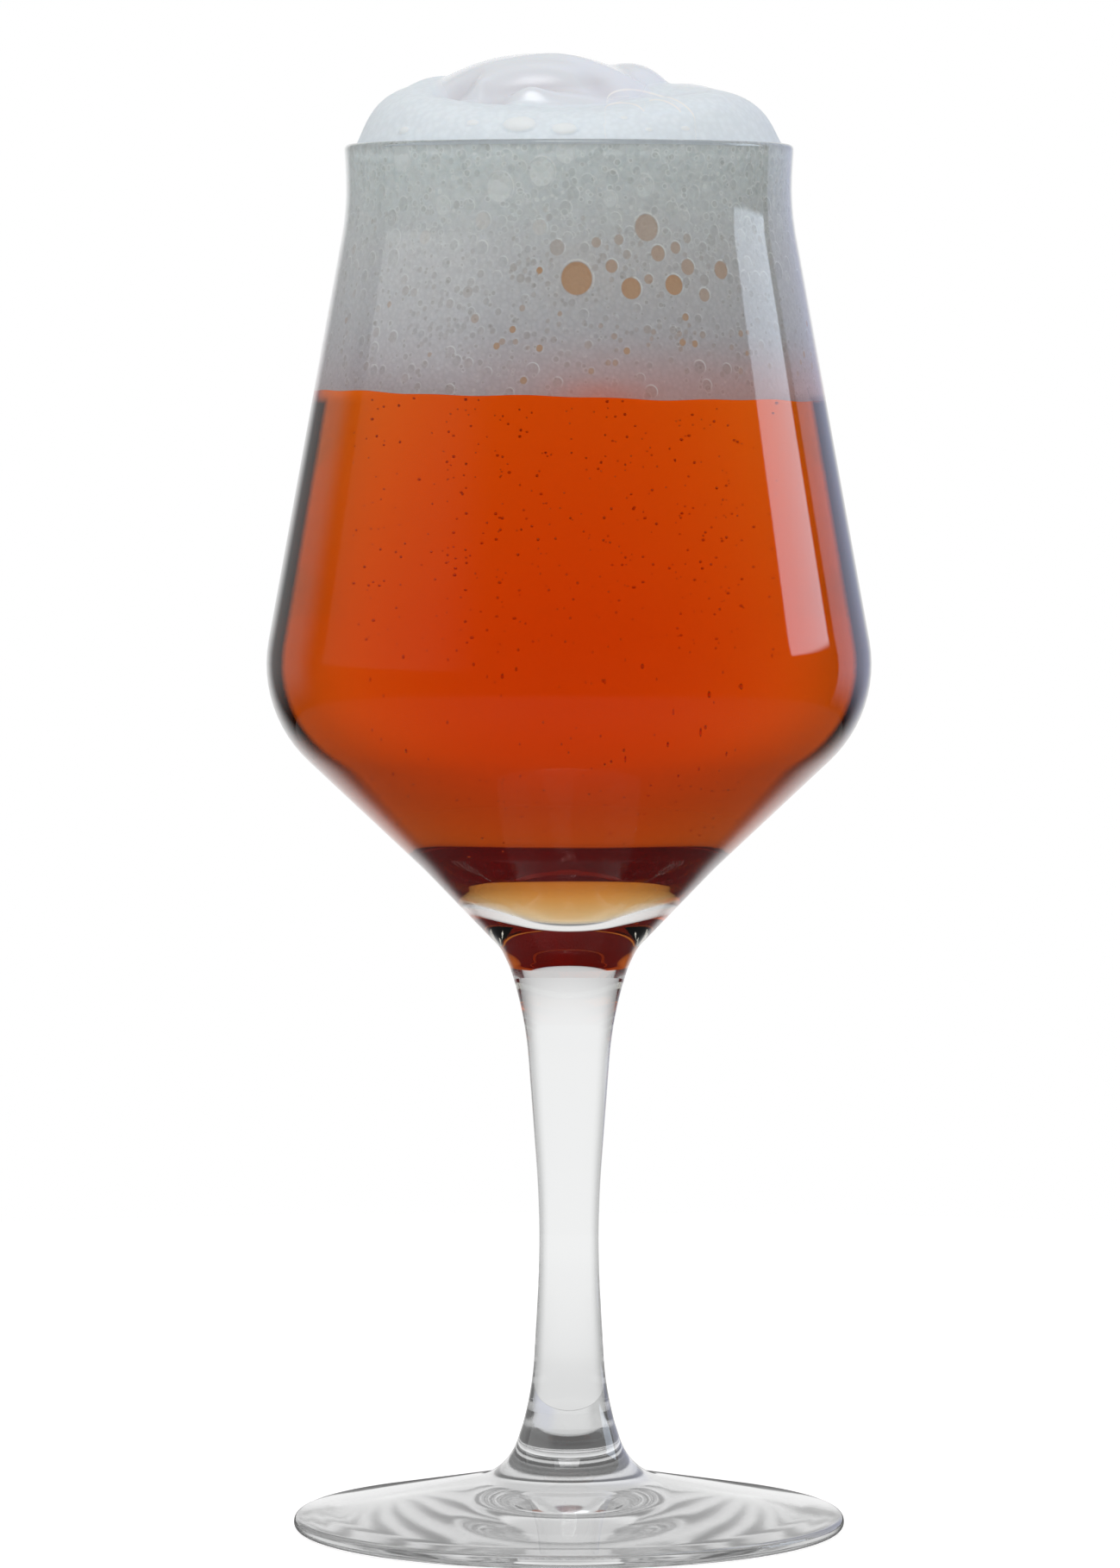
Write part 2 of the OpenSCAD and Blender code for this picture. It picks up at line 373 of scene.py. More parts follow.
class StageSettings(bpy.types.PropertyGroup):
    """Camera, light and floor"""

    camera_back: length("Camera distance", "Distance of the camera from the stem", 1.089)
    camera_up: length("Camera height", "Height of the camera above the table", 0.1699)
    camera_side: length("Camera side", "Place of the camera across", -0.0013)
    aim_up: length("Aim height", "Height that the camera looks at", 0.10763)
    lens: level("Lens", "Focal length on a 36 mm high picture", 173.87, "CAMERA")
    shade_light: level("Shade light", "Light on the side away from the window", 0.42)
    window_light: level("Window light", "Light on the side of the window", 0.85)
    strip_light: level("Strip light", "Light that the tall window adds", 0.2)
    floor_radius: length("Floor radius", "Radius of the floor round the glass", 0.4)
    lamp_power: level("Lamp power", "Power of the lamp", 0.43, "POWER")
    lamp_size: length("Lamp size", "Side of the lamp", 0.35)
    lamp_colour: tint("Lamp colour", "Colour of the lamp", (0.93, 0.97, 1.0))
    side_glow: tint("Side glow", "Colour that the room has on the right", (0.66, 0.70, 0.93))
    strip_glow: tint("Strip glow", "Colour of the tall window on the right", (0.75, 0.85, 1.0))


# Nodes


def feed(tree, target, sockets):
    """Links or sets sockets of a node."""
    for name, value in sockets.items():
        if isinstance(value, bpy.types.NodeSocket):
            tree.links.new(value, target.inputs[name])
        else:
            target.inputs[name].default_value = value


def add_node(tree, kind, sockets=None, **settings):
    """New node with its sockets and settings."""
    made = tree.nodes.new("ShaderNode" + kind)
    for name, value in settings.items():
        setattr(made, name, value)
    feed(tree, made, sockets or {})
    return made


def maths(tree, operation, first, second=0.0):
    """Output of an operation on one or two values."""
    return add_node(tree, "Math", {0: first, 1: second}, operation=operation).outputs[0]


def times(tree, first, second):
    """Output of one value times another."""
    return maths(tree, "MULTIPLY", first, second)


def ramp(tree, value, low, high, start=0.0, end=1.0):
    """Output that eases from start to end while the value goes from low to high."""
    sockets = {"Value": value, "From Min": low, "From Max": high, "To Min": start, "To Max": end}
    return add_node(tree, "MapRange", sockets, interpolation_type="SMOOTHSTEP").outputs[0]


def band(tree, value, low, high, soft):
    """Output that is 1 while the value lies between low and high, with soft ends."""
    rise = ramp(tree, value, low - soft, low + soft)
    fall = ramp(tree, value, high - soft, high + soft, 1.0, 0.0)
    return times(tree, rise, fall)


def blend(tree, factor, first, second, kind="MIX"):
    """Output of a mix of two colours."""
    sockets = {0: factor, 6: first, 7: second}
    return add_node(tree, "Mix", sockets, data_type="RGBA", blend_type=kind).outputs[2]


def scaled(tree, factor, first, second):
    """Output of one colour times another, to a degree."""
    return blend(tree, factor, first, second, "MULTIPLY")


def object_place(tree):
    """Output of the place on the object."""
    return add_node(tree, "TexCoord").outputs["Object"]


def carried(tree, name):
    """Output of a value that the object's points carry."""
    return add_node(tree, "Attribute", attribute_name=name).outputs["Fac"]


def cell_distance(tree, place, scale, feature="F1"):
    """Output of the distance in a pattern of cells."""
    cells = add_node(tree, "TexVoronoi", {"Vector": place, "Scale": scale}, feature=feature)
    return cells.outputs["Distance"]


def foam_grain(tree, place, scales, share):
    """Output of a pattern between fine cells and coarse ones."""
    fine, coarse = (cell_distance(tree, place, scale) for scale in scales)
    return add_node(tree, "Mix", {0: share, 2: fine, 3: coarse}, data_type="FLOAT").outputs[0]


def bump_from(tree, height, strength, depth):
    """Output of a normal bent by a pattern."""
    sockets = {"Strength": strength, "Distance": depth, "Height": height}
    return add_node(tree, "Bump", sockets, invert=True).outputs["Normal"]


def new_material(name):
    """Node material with its tree and its own shader."""
    material = bpy.data.materials.new(name)
    material.use_nodes = True
    return material, material.node_tree, material.node_tree.nodes["Principled BSDF"]


def glass_material(name, colour, ior, waviness, roughness=0.0):
    """Clear glass, with a faint waviness from its making."""
    material, tree, shader = new_material(name)
    sockets = {"Vector": object_place(tree), "Scale": 55.0, "Detail": 1.0}
    waves = add_node(tree, "TexNoise", sockets).outputs["Fac"]
    bump = add_node(tree, "Bump", {"Strength": waviness, "Distance": 0.002, "Height": waves})
    feed(tree, shader, {
        "Base Color": colour,
        "Roughness": roughness,
        "IOR": ior,
        "Transmission Weight": 1.0,
        "Normal": bump.outputs["Normal"],
    })
    return material


def edged_glass_material(name, look, full_to, start, end, most, waviness):
    """Clear glass with painted shade where sight grazes it, for dark surroundings seen in its edges, less so
    under the bowl and not above the beer.
    """
    material = glass_material(name, look.colour, look.ior, waviness)
    tree = material.node_tree
    facing = add_node(tree, "LayerWeight", {"Blend": 0.5}).outputs["Facing"]
    height = add_node(tree, "SeparateXYZ", {"Vector": object_place(tree)}).outputs["Z"]
    # Painted shade: a gentle darkening at middling facings and a strong one at grazing ones
    gentle = ramp(tree, facing, 0.25, 0.60, 0.0, 0.45)
    edge = maths(tree, "MAXIMUM", gentle, ramp(tree, facing, start, end, 0.0, most))
    below_foam = ramp(tree, height, full_to - EDGE_FADE, full_to + EDGE_FADE, 1.0, 0.0)
    on_bowl = times(tree, ramp(tree, height, *BOWL_START, 0.4, 1.0), below_foam)
    on_stem = ramp(tree, height, *STEM_END, 1.0, 0.0)
    edge = times(tree, edge, maths(tree, "MAXIMUM", on_bowl, on_stem))
    colour = blend(tree, edge, look.colour, look.painted_edge_shade)
    feed(tree, tree.nodes["Principled BSDF"], {"Base Color": colour})
    return material


def seam_material():
    """Fused joint inside the glass, which light crosses as if nothing were there."""
    material, tree, shader = new_material("fused seam")
    clear = add_node(tree, "BsdfTransparent")
    feed(tree, tree.nodes["Material Output"], {"Surface": clear.outputs[0]})
    tree.nodes.remove(shader)
    return material


def beer_material(name, look, ior):
    """Amber liquid that colours light by the way it takes through it."""
    material, tree, shader = new_material(name)
    feed(tree, shader, {
        "Base Color": (1.0, 1.0, 1.0, 1.0),
        "Roughness": 0.0,
        "IOR": ior,
        "Transmission Weight": 1.0,
    })
    sockets = {"Color": look.colour, "Density": look.density}
    absorb = add_node(tree, "VolumeAbsorption", sockets)
    feed(tree, tree.nodes["Material Output"], {"Volume": absorb.outputs[0]})
    return material


def bead_layer(tree, place, scale, share, size):
    """Painted shade in the discs and painted highlights on the rims of small round bubbles strewn over the
    foam.
    """
    cell = add_node(tree, "TexVoronoi", {"Vector": place, "Scale": scale})
    pick = add_node(tree, "SeparateColor", {"Color": cell.outputs["Color"]}).outputs
    chosen = maths(tree, "LESS_THAN", pick["Red"], share)
    reach = ramp(tree, pick["Green"], 0.0, 1.0, 0.6 * size, size)
    far = maths(tree, "DIVIDE", cell.outputs["Distance"], reach)
    disc = times(tree, chosen, ramp(tree, far, 0.8, 1.0, 1.0, 0.0))
    ring = times(tree, chosen, band(tree, far, 1.05, 1.3, 0.12))
    return disc, ring


def wet_foam_material(look):
    """Foam against the glass, with beads, tan pockets, and painted light and shade: a glow above the beer,
    lighter towards the rim, darker to the right and low down, shaded bubbles and highlighted rims.
    """
    material, tree, shader = new_material("wet foam")
    low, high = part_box("foam_head")
    middle = 0.5 * (low.z + high.z)
    place = object_place(tree)
    split = add_node(tree, "SeparateXYZ", {"Vector": place}).outputs
    across, height = split["X"], split["Z"]
    pale = look.pale_and_highlight_colour
    # Painted light and shade: lighter towards the rim, darker towards the beer
    rise = ramp(tree, height, low.z, middle)
    body = blend(tree, rise, look.shaded_low_colour, look.middle_colour)
    body = blend(tree, ramp(tree, height, middle, high.z), body, look.lit_top_colour)
    upper = ramp(tree, height, low.z + 0.014, high.z - 0.004)
    zones = {"upper": upper, "lower": ramp(tree, height, middle, high.z - 0.006, 1.0, 0.0)}
    grain = foam_grain(tree, place, HEAD_CELLS, upper)
    # Painted shade: the foam's right side darker
    side = ramp(tree, across, *SHADED_SIDE, 1.02, 0.91)
    shade = times(tree, side, ramp(tree, grain, 0.2, 0.75, 0.98, 0.90))
    body = scaled(tree, 1.0, body, shade)
    # Painted highlights: pale walls between the cells near the rim
    walls = cell_distance(tree, place, HEAD_CELLS[1], "DISTANCE_TO_EDGE")
    walls = ramp(tree, walls, 0.02, 0.26, 0.3, 0.0)
    body = blend(tree, times(tree, walls, upper), body, pale)
    # Beads: painted shade in their discs, painted highlights on their rims
    for scale, share, size, light, dark, zone in BEAD_LAYERS:
        disc, ring = bead_layer(tree, place, scale, share, size)
        disc = times(tree, disc, times(tree, zones[zone], dark))
        ring = times(tree, ring, times(tree, zones[zone], light))
        body = scaled(tree, disc, body, look.bead_shade)
        body = blend(tree, ring, body, pale)
    # Painted light: a red glow of the beer's light on the foam above it, stronger on the right and at a spot
    above = maths(tree, "SUBTRACT", height, times(tree, across, -look.tilt))
    near_beer = ramp(tree, above, low.z, low.z + GLOW_HEIGHT, 1.0, 0.0)
    right = ramp(tree, across, *GLOW_SIDE, 0.05, 0.30)
    spot = ramp(tree, above, low.z, low.z + SPOT_HEIGHT, 0.4, 0.0)
    spot = times(tree, band(tree, across, *SPOT_ACROSS), spot)
    glow = maths(tree, "ADD", times(tree, near_beer, right), spot)
    body = blend(tree, glow, body, look.painted_glow_colour)
    marks = {name: carried(tree, name) for name in BUBBLE_MARKS}
    # Painted shade inside pocketed bubbles, and a painted highlight on the lit side of their rims
    inside = ramp(tree, marks["far"], 0.99, 1.11, 1.0, 0.0)
    rim = times(tree, band(tree, marks["far"], 1.12, 1.24, 0.06), ramp(tree, marks["lit"], -0.6, 1.0))
    body = scaled(tree, times(tree, inside, marks["shade"]), body, look.pocket_shade)
    # Pale insides of bubbles, and the tan of beer light painted inside pockets
    for mark, colour in (("pale", pale), ("tan", look.beer_lit_pocket_colour)):
        body = blend(tree, times(tree, inside, marks[mark]), body, colour)
    body = blend(tree, times(tree, rim, 0.8), body, pale)
    feed(tree, shader, {
        "Base Color": body,
        "Roughness": ramp(tree, upper, 0.0, 1.0, 0.45, 0.25),
        "Subsurface Weight": 0.15,
        "Subsurface Radius": (0.003, 0.002, 0.0015),
        "Subsurface Scale": 1.0,
        "Normal": bump_from(tree, grain, ramp(tree, upper, 0.0, 1.0, 0.35, 0.85), 0.0004),
    })
    return material


def dry_foam_material(look):
    """Mound above the rim: smooth, moist cream on top and froth down its sides, with painted shade in its
    hollows and painted highlights along its films.
    """
    material, tree, shader = new_material("dry foam")
    marks = {name: carried(tree, name) for name in MOUND_MARKS}
    cream = marks["cream"]
    grain = foam_grain(tree, object_place(tree), MOUND_CELLS, 0.4)
    shade = ramp(tree, grain, 0.2, 0.75, 1.0, 0.94)
    froth = scaled(tree, 1.0, look.froth_colour, shade)
    disc = ramp(tree, marks["disc"], 0.8, 1.0, 0.7, 0.0)
    froth = blend(tree, disc, froth, look.disc_colour)
    body = blend(tree, cream, froth, look.cream_colour)
    # Painted shade in the hollows of the folds
    body = blend(tree, times(tree, marks["hollow"], 0.8), body, look.hollow_shade_colour)
    # Painted highlights along the films' edges
    film = ramp(tree, maths(tree, "ABSOLUTE", marks["film"]), *FILM_EDGE, 0.85, 0.0)
    body = blend(tree, film, body, look.film_highlight_colour)
    strength = maths(tree, "SUBTRACT", 0.25, times(tree, cream, 0.2))
    feed(tree, shader, {
        "Base Color": body,
        "Roughness": ramp(tree, cream, 0.0, 1.0, 0.5, 0.22),
        "Coat Weight": times(tree, cream, 0.35),
        "Coat Roughness": 0.17,
        "Subsurface Weight": 0.25,
        "Subsurface Radius": (0.004, 0.003, 0.0025),
        "Subsurface Scale": 1.0,
        "Normal": bump_from(tree, grain, strength, 0.0003),
    })
    return material


# Meshes


def outline_of(node):
    """Outline of a turned CAD node as rows of radius and height, from its lower open end to the other."""
    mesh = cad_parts[node].data
    at = np.array([(math.hypot(v.co.x, v.co.y), v.co.z) for v in mesh.vertices])
    ring_of = np.full(len(at), -1)
    rings = []
    for i in range(len(at)):
        if ring_of[i] < 0:
            ring_of[np.abs(at - at[i]).max(axis=1) < SAME_RING] = len(rings)
            rings.append(at[i])
    beside = [set() for ring in rings]
    for edge in mesh.edges:
        a, b = (int(ring_of[v]) for v in edge.vertices)
        if a != b:
            beside[a].add(b)
            beside[b].add(a)
    ends = [i for i, near in enumerate(beside) if len(near) == 1]
    if len(ends) != 2:
        raise RuntimeError(f"the outline of {node} has {len(ends)} ends, not 2")
    walk = [min(ends, key=lambda i: rings[i][1])]
    while len(walk) < len(rings):
        walk.append((beside[walk[-1]] - set(walk)).pop())
    return np.array([rings[i] for i in walk])


def refined(outline, step):
    """The outline with points added, so that none of its sides is longer than the step."""
    rows = [outline[0]]
    for a, b in zip(outline, outline[1:]):
        parts = max(1, math.ceil(np.linalg.norm(b - a) / step))
        rows.extend(a + (b - a) * k / parts for k in range(1, parts + 1))
    return np.array(rows)


def closed(outline):
    """The outline carried on to the axis at both ends."""
    rows = list(outline)
    if rows[0][0] > POLE:
        rows.insert(0, np.array([0.0, rows[0][1]]))
    if rows[-1][0] > POLE:
        rows.append(np.array([0.0, rows[-1][1]]))
    return np.array(rows)


def moved_out(outline, distance):
    """The outline moved to its right by a distance."""
    along = np.gradient(outline, axis=0)
    along /= np.linalg.norm(along, axis=1)[:, None]
    return outline + distance * np.column_stack([along[:, 1], -along[:, 0]])


def ring_mesh(rings):
    """Points and faces of a skin over rings of points, of which one may be a pole, and each face's ring."""
    points = []
    numbers = []
    for ring in rings:
        numbers.append(np.arange(len(points), len(points) + len(ring)))
        points.extend(ring)
    faces = []
    owner = []
    for i, (low, high) in enumerate(zip(numbers, numbers[1:])):
        size = max(len(low), len(high))
        for j in range(size):
            k = (j + 1) % size
            if len(low) == 1:
                faces.append((low[0], high[k], high[j]))
            elif len(high) == 1:
                faces.append((low[j], low[k], high[0]))
            else:
                faces.append((low[j], low[k], high[k], high[j]))
            owner.append(i)
    return points, faces, owner


def radius_at(outline, height):
    """Radius of a rising outline at a height."""
    return np.interp(height, outline[:, 1], outline[:, 0])


def even_turn(sides):
    """Even angles round the Z axis."""
    return np.arange(sides) * math.tau / sides


def turned_by(turn, angle):
    """Angles from one turn to others, the short way round."""
    return (turn - angle + math.pi) % math.tau - math.pi


def pole_at(height):
    """Ring of one point on the Z axis."""
    return np.array([(0.0, 0.0, height)])


def ring_at(radius, turn, height):
    """Ring of points at angles round the Z axis."""
    level_z = np.broadcast_to(height, turn.shape)
    return np.column_stack([radius * np.cos(turn), radius * np.sin(turn), level_z])


def turned_rings(outline, sides):
    """Rings of points of an outline turned round the Z axis."""
    turn = even_turn(sides)
    return [pole_at(z) if radius < POLE else ring_at(radius, turn, z) for radius, z in outline]


def linked(name, data):
    """New object in the scene."""
    made = bpy.data.objects.new(name, data)
    bpy.context.scene.collection.objects.link(made)
    return made


def new_piece(name, points, faces, materials, owners=None, sharp=35.0):
    """Smooth mesh object of points and faces, each face with one of the materials."""
    mesh = bpy.data.meshes.new(name)
    mesh.from_pydata([tuple(p) for p in points], [], [tuple(int(v) for v in face) for face in faces])
    for material in materials:
        mesh.materials.append(material)
    if owners is not None:
        mesh.polygons.foreach_set("material_index", np.asarray(owners, dtype=np.int32))
    mesh.shade_smooth()
    mesh.set_sharp_from_angle(angle=math.radians(sharp))
    if mesh.validate():
        raise RuntimeError(f"{name} had faces that don't hold")
    mesh.update()
    return linked(name, mesh)


def give_attribute(piece, name, values):
    """Value of each point of a piece, which its material reads."""
    attribute = piece.data.attributes.new(name, "FLOAT", "POINT")
    attribute.data.foreach_set("value", np.asarray(values, dtype=np.float32))


def seat(piece, node):
    """Fixes a piece in the frame in place of its CAD node."""
    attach(piece, "root")
    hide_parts(node)


def inner_wall(step):
    """Inside of the bowl as rows of radius and height, from the middle of its floor up to the rim."""
    bowl = outline_of("bowl")
    inside = bowl[int(np.argmax(bowl[:, 1])):][::-1]
    return closed(refined(inside, step))[:-1]


def cut_at(outline, height):
    """The lower part of an outline that rises, cut off at a height."""
    below = outline[outline[:, 1] < height - POLE]
    return np.vstack([below, [radius_at(outline, height), height]])


# Pieces


def make_glass(look):
    """Bowl, stem and foot, with seams that light crosses where they are fused."""
    beer_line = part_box("beer")[1].z
    clear = {}
    for node, edge in GLASS_EDGES.items():
        clear[node] = edged_glass_material(node + " glass", look, beer_line, *edge)
    foot = (look.foot_colour, look.ior, look.waviness, look.foot_roughness)
    clear["foot"] = glass_material("foot glass", *foot)
    wet = glass_material("wetted glass", look.colour, look.wet_ior, look.waviness)
    seam = seam_material()
    for node, glass in clear.items():
        rows = closed(refined(outline_of(node), look.step))
        points, faces, owner = ring_mesh(turned_rings(rows, look.sides))
        slots = np.full(len(rows) - 1, CLEAR)
        if node == "bowl":
            slots[np.argmax(rows[:, 1]) + 1:] = WET
        else:
            slots[-1] = SEAM
        if node != "foot":
            slots[0] = SEAM
        piece = new_piece("glass_" + node, points, faces, [glass, wet, seam], slots[owner])
        seat(piece, node)


def ball():
    """Points and faces of a small ball of radius 1, turned inside out."""
    work = bmesh.new()
    bmesh.ops.create_icosphere(work, subdivisions=2, radius=1.0)
    points = np.array([v.co for v in work.verts])
    faces = np.array([[v.index for v in reversed(f.verts)] for f in work.faces])
    work.free()
    return points, faces


def make_beer(look, glass):
    """Beer with its rising bubbles, which are hollows in it."""
    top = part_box("beer")[1].z + BEER_RISE
    wall = inner_wall(glass.step)
    rows = closed(moved_out(cut_at(wall, top), look.overlap))
    rows[0, 0] = 0.0
    points, faces, _ = ring_mesh(turned_rings(rows, glass.sides))
    slots = [0] * len(faces)
    rng = np.random.default_rng(look.seed)
    ball_points, ball_faces = ball()
    spread = radius_at(wall, top - SPREAD_DEPTH)
    for _ in range(look.streams):
        angle = rng.uniform(0.0, math.tau)
        share = math.sqrt(rng.uniform(*STREAM_AREA))
        height = wall[0, 1] + rng.uniform(*STREAM_START)
        while height < top - TOP_ROOM:
            size = look.bubble_small + (look.bubble_large - look.bubble_small) * rng.uniform() ** 2
            radius = min(share * spread, radius_at(wall, height) - WALL_ROOM)
            centre = np.array([radius * math.cos(angle), radius * math.sin(angle), height])
            faces.extend(ball_faces + len(points))
            points.extend(centre + size * ball_points)
            slots.extend([1] * len(ball_faces))
            height += rng.uniform(*STREAM_STEP)
            angle += rng.uniform(-STREAM_TURN, STREAM_TURN)
    materials = [beer_material("amber beer", look, 1.0), beer_material("rising bubble", look, look.ior)]
    piece = new_piece("beer_body", points, faces, materials, slots)
    seat(piece, "beer")


def press(grids, turn, height, girth, bubble):
    """Presses one round pocket into the relief, and marks the points that it is nearest to, with the darkness
    of its painted shade and the lit side of its painted rim highlight.
    """
    angle, z, size, depth, shade, tan, pale = bubble
    away = turned_by(turn, angle)
    columns = np.flatnonzero(np.abs(away) * girth < 2.0 * size)
    if not len(columns):
        return
    across = away[columns] * girth
    upward = height[:, columns] - z
    apart = np.hypot(across, upward)
    share = apart / size
    dish = np.sqrt(np.clip(1.0 - share * share, 0.0, 1.0))
    rim = np.exp(-((share - 1.15) / 0.16) ** 2)
    grids["relief"][:, columns] += depth * size * (dish - 0.25 * rim)
    far = np.minimum(share, 1.0) + np.maximum(apart - size, 0.0) / max(size, WIDE_RIM)
    nearer = far < grids["far"][:, columns]
    clear = min(1.0, size / SMALL_BUBBLE)
    lit = clear * (0.8 * upward + 0.6 * across) / np.maximum(apart, POLE) - 0.6 * (1.0 - clear)
    for name, value in zip(BUBBLE_MARKS, (far, lit, shade, tan, pale)):
        grids[name][:, columns] = np.where(nearer, value, grids[name][:, columns])


def foam_bubbles(look, low, high, wall):
    """Bubbles of the wet foam as angle, height, radius, depth, and how dark its painted shade, how tan and
    how pale each is.
    """
    rng = np.random.default_rng(look.seed)
    bubbles = []
    for x, z, size, tan, pale in FRONT_BUBBLES:
        angle = -math.acos(x / radius_at(wall, z))
        bubbles.append((angle, z, size, POCKET, 0.25 * (pale == 0.0), tan, 0.6 * pale))
    for x, z, wide, tall, number, tan in BUBBLE_CLUSTERS:
        for _ in range(number):
            place = x + wide * rng.normal(0.0, 0.6)
            above = z + tall * rng.normal(0.0, 0.6)
            angle = -math.acos(place / radius_at(wall, above))
            size = 0.00022 + 0.00028 * rng.uniform() ** 2
            shade = 0.15 + 0.15 * rng.uniform()
            bubbles.append((angle, above, size, SMALL_POCKET, shade, tan * rng.uniform(), 0.0))
    for _ in range(look.stray):
        angle = rng.uniform(0.12, 0.88) * math.pi
        z = low.z + rng.uniform(0.010, 0.026)
        bubbles.append((angle, z, rng.uniform(0.0006, 0.0021), POCKET, 0.2, 0.9, 0.0))
    for _ in range(look.specks):
        angle = rng.uniform(0.0, math.tau)
        z = low.z + rng.uniform(0.003, 0.013)
        size = rng.uniform(0.00025, 0.00040)
        bubbles.append((angle, z, size, TAN_POCKET, 0.2, rng.uniform(0.2, 0.7), 0.0))
    for _ in range(look.coarse):
        angle = rng.uniform(0.0, math.tau)
        z = high.z - 0.019 * rng.uniform() ** 1.3
        size = 0.0004 + 0.0008 * rng.uniform() ** 3
        shade = 0.04 + 0.16 * rng.uniform()
        bubbles.append((angle, z, size, POCKET, shade, 0.0, 0.25 * rng.uniform() ** 3))
    for _ in range(look.fine):
        angle = rng.uniform(0.0, math.tau)
        z = low.z + 0.027 * rng.uniform() ** 0.9
        size = 0.0003 + 0.0005 * rng.uniform() ** 3
        shade = 0.08 + 0.18 * rng.uniform()
        bubbles.append((angle, z, size, POCKET, shade, 0.1 * rng.uniform(), 0.0))
    return bubbles


def apart_only(bubbles, girth):
    """Those of the bubbles that overlap none before them."""
    kept = []
    taken = np.empty((len(bubbles), 3))
    for bubble in bubbles:
        angles, heights, sizes = taken[:len(kept)].T
        away = turned_by(angles, bubble[0])
        gaps = np.hypot(away * girth, heights - bubble[1]) - 1.15 * sizes - 1.1 * bubble[2]
        if np.all(gaps > 0.0):
            taken[len(kept)] = bubble[:3]
            kept.append(bubble)
    return kept


def close_columns(sides):
    """Angles round the glass, which lie closer together on the front."""
    even = even_turn(sides)
    return even - 0.45 * np.cos(even)


def make_foam_head(look, glass):
    """Wet foam between the beer and the rim, with its bubbles pressed against the glass."""
    low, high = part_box("foam_head")
    wall = inner_wall(glass.step)
    turn = close_columns(look.head_sides)
    wide = radius_at(wall, low.z)
    line = low.z - look.tilt * wide * np.cos(turn)
    line += 0.00012 * np.sin(7 * turn + 0.6) + 0.00008 * np.sin(17 * turn)
    share = np.linspace(0.0, 1.0, look.head_rows)[:, None]
    height = line + share * (high.z - line)
    girth = 0.5 * (wide + high.x)
    grids = {name: np.zeros(height.shape) for name in BUBBLE_MARKS}
    grids["far"] += NO_BUBBLE
    grids["relief"] = np.full(height.shape, look.skin)
    for bubble in apart_only(foam_bubbles(look, low, high, wall), girth):
        press(grids, turn, height, girth, bubble)
    radius = radius_at(wall, height) + SKIN_REACH - np.clip(grids["relief"], 0.0, None)
    rings = [pole_at(low.z)]
    for inside in UNDER_RINGS:
        rings.append(ring_at(inside * radius[0], turn, low.z + inside * (line - low.z)))
    below = sum(len(ring) for ring in rings)
    for row in range(look.head_rows):
        rings.append(ring_at(radius[row], turn, height[row]))
    rings.append(pole_at(high.z))
    points, faces, _ = ring_mesh(rings)
    piece = new_piece("foam_head_wet", points, faces, [wet_foam_material(look)], sharp=60.0)
    for name in BUBBLE_MARKS:
        plain = np.full(below, grids[name][0, 0])
        give_attribute(piece, name, np.concatenate([plain, grids[name].ravel(), [NO_BUBBLE]]))
    seat(piece, "foam_head")


def eased(value, start, stretch):
    """Smooth rise from 0 to 1 while a value goes through a stretch."""
    share = np.clip((value - start) / stretch, 0.0, 1.0)
    return share * share * (3.0 - 2.0 * share)


def mound_height(look, reach, x, y):
    """Height of the foam mound above the rim, and how creamy and how hollow it is, at places x and y."""
    out = np.minimum(1.0, np.hypot(x, y) / reach)
    front = look.brow_height + FRONT_RISE * np.clip((x - FRONT_MIDDLE) / FRONT_WIDE, -1.0, 1.0) ** 2
    rear = look.back_height - look.droop * eased(x, DROOP_START, MOUND_FADE)
    brow = front + (rear - front) * eased(y, BACK_START, MOUND_FADE)
    heights = [brow * (1.0 - out ** look.edge_power) ** look.edge_root]
    for across, along, wide, deep, top in CREAM_LOBES:
        far = ((x - across) / wide) ** 2 + ((y - along) / deep) ** 2
        lobe = top * np.sqrt(np.clip(1.0 - far, 0.0, None))
        heights.append(np.where(far < 1.0, lobe, -LOBE_FALL * (far - 1.0)))
    weights = [np.exp((height - look.cap_height) / LOBE_SOFT) for height in heights]
    total = sum(weights)
    rise = look.cap_height + LOBE_SOFT * np.log(total)
    cream = sum(weights[1:4]) / total
    hollow = np.zeros(np.shape(x))
    for across, along, wide, deep, top in CREAM_FOLDS:
        fold = np.exp(-((x - across) / wide) ** 2 - ((y - along) / deep) ** 2)
        rise = rise + top * fold
        hollow = np.maximum(hollow, fold * (top < 0.0))
    ripple = np.sin(310 * x + 140 * y + 0.5) * np.sin(250 * y - 110 * x) + 0.5 * np.sin(560 * x - 370 * y)
    rise = rise + RIPPLE * ripple * (1 - out ** 4)
    return np.clip(rise, 0.0, look.cap_height) * (1 - out ** 40), cream, hollow


def film_lines(x, y, rise):
    """How far above or below the nearest film's edge the front of the mound lies."""
    nearest = np.full(x.shape, 1.0)
    for across, above, wide, top, slant in FILM_ARCS:
        share = (x - across) / wide
        edge = above + top * np.sqrt(np.clip(1.0 - share * share, 0.0, None)) + slant * (x - across)
        apart = np.where((np.abs(share) < 1.0) & (y < FILM_BACK), rise - edge, 1.0)
        nearest = np.where(np.abs(apart) < np.abs(nearest), apart, nearest)
    return np.clip(nearest, -FILM_REACH, FILM_REACH)


def swell(grid, middle, size, share):
    """Raises one flat bubble on a grid of points, along the grid's own normals."""
    across = np.roll(grid, -1, axis=1) - np.roll(grid, 1, axis=1)
    upward = np.gradient(grid, axis=0)
    normal = np.cross(across, upward)
    normal /= np.maximum(np.linalg.norm(normal, axis=2), 1e-12)[:, :, None]
    far = np.linalg.norm((grid - middle) * SKIRT_FLAT, axis=2) / size
    grid += normal * (share * size * np.sqrt(np.clip(1.0 - far * far, 0.0, None)))[:, :, None]


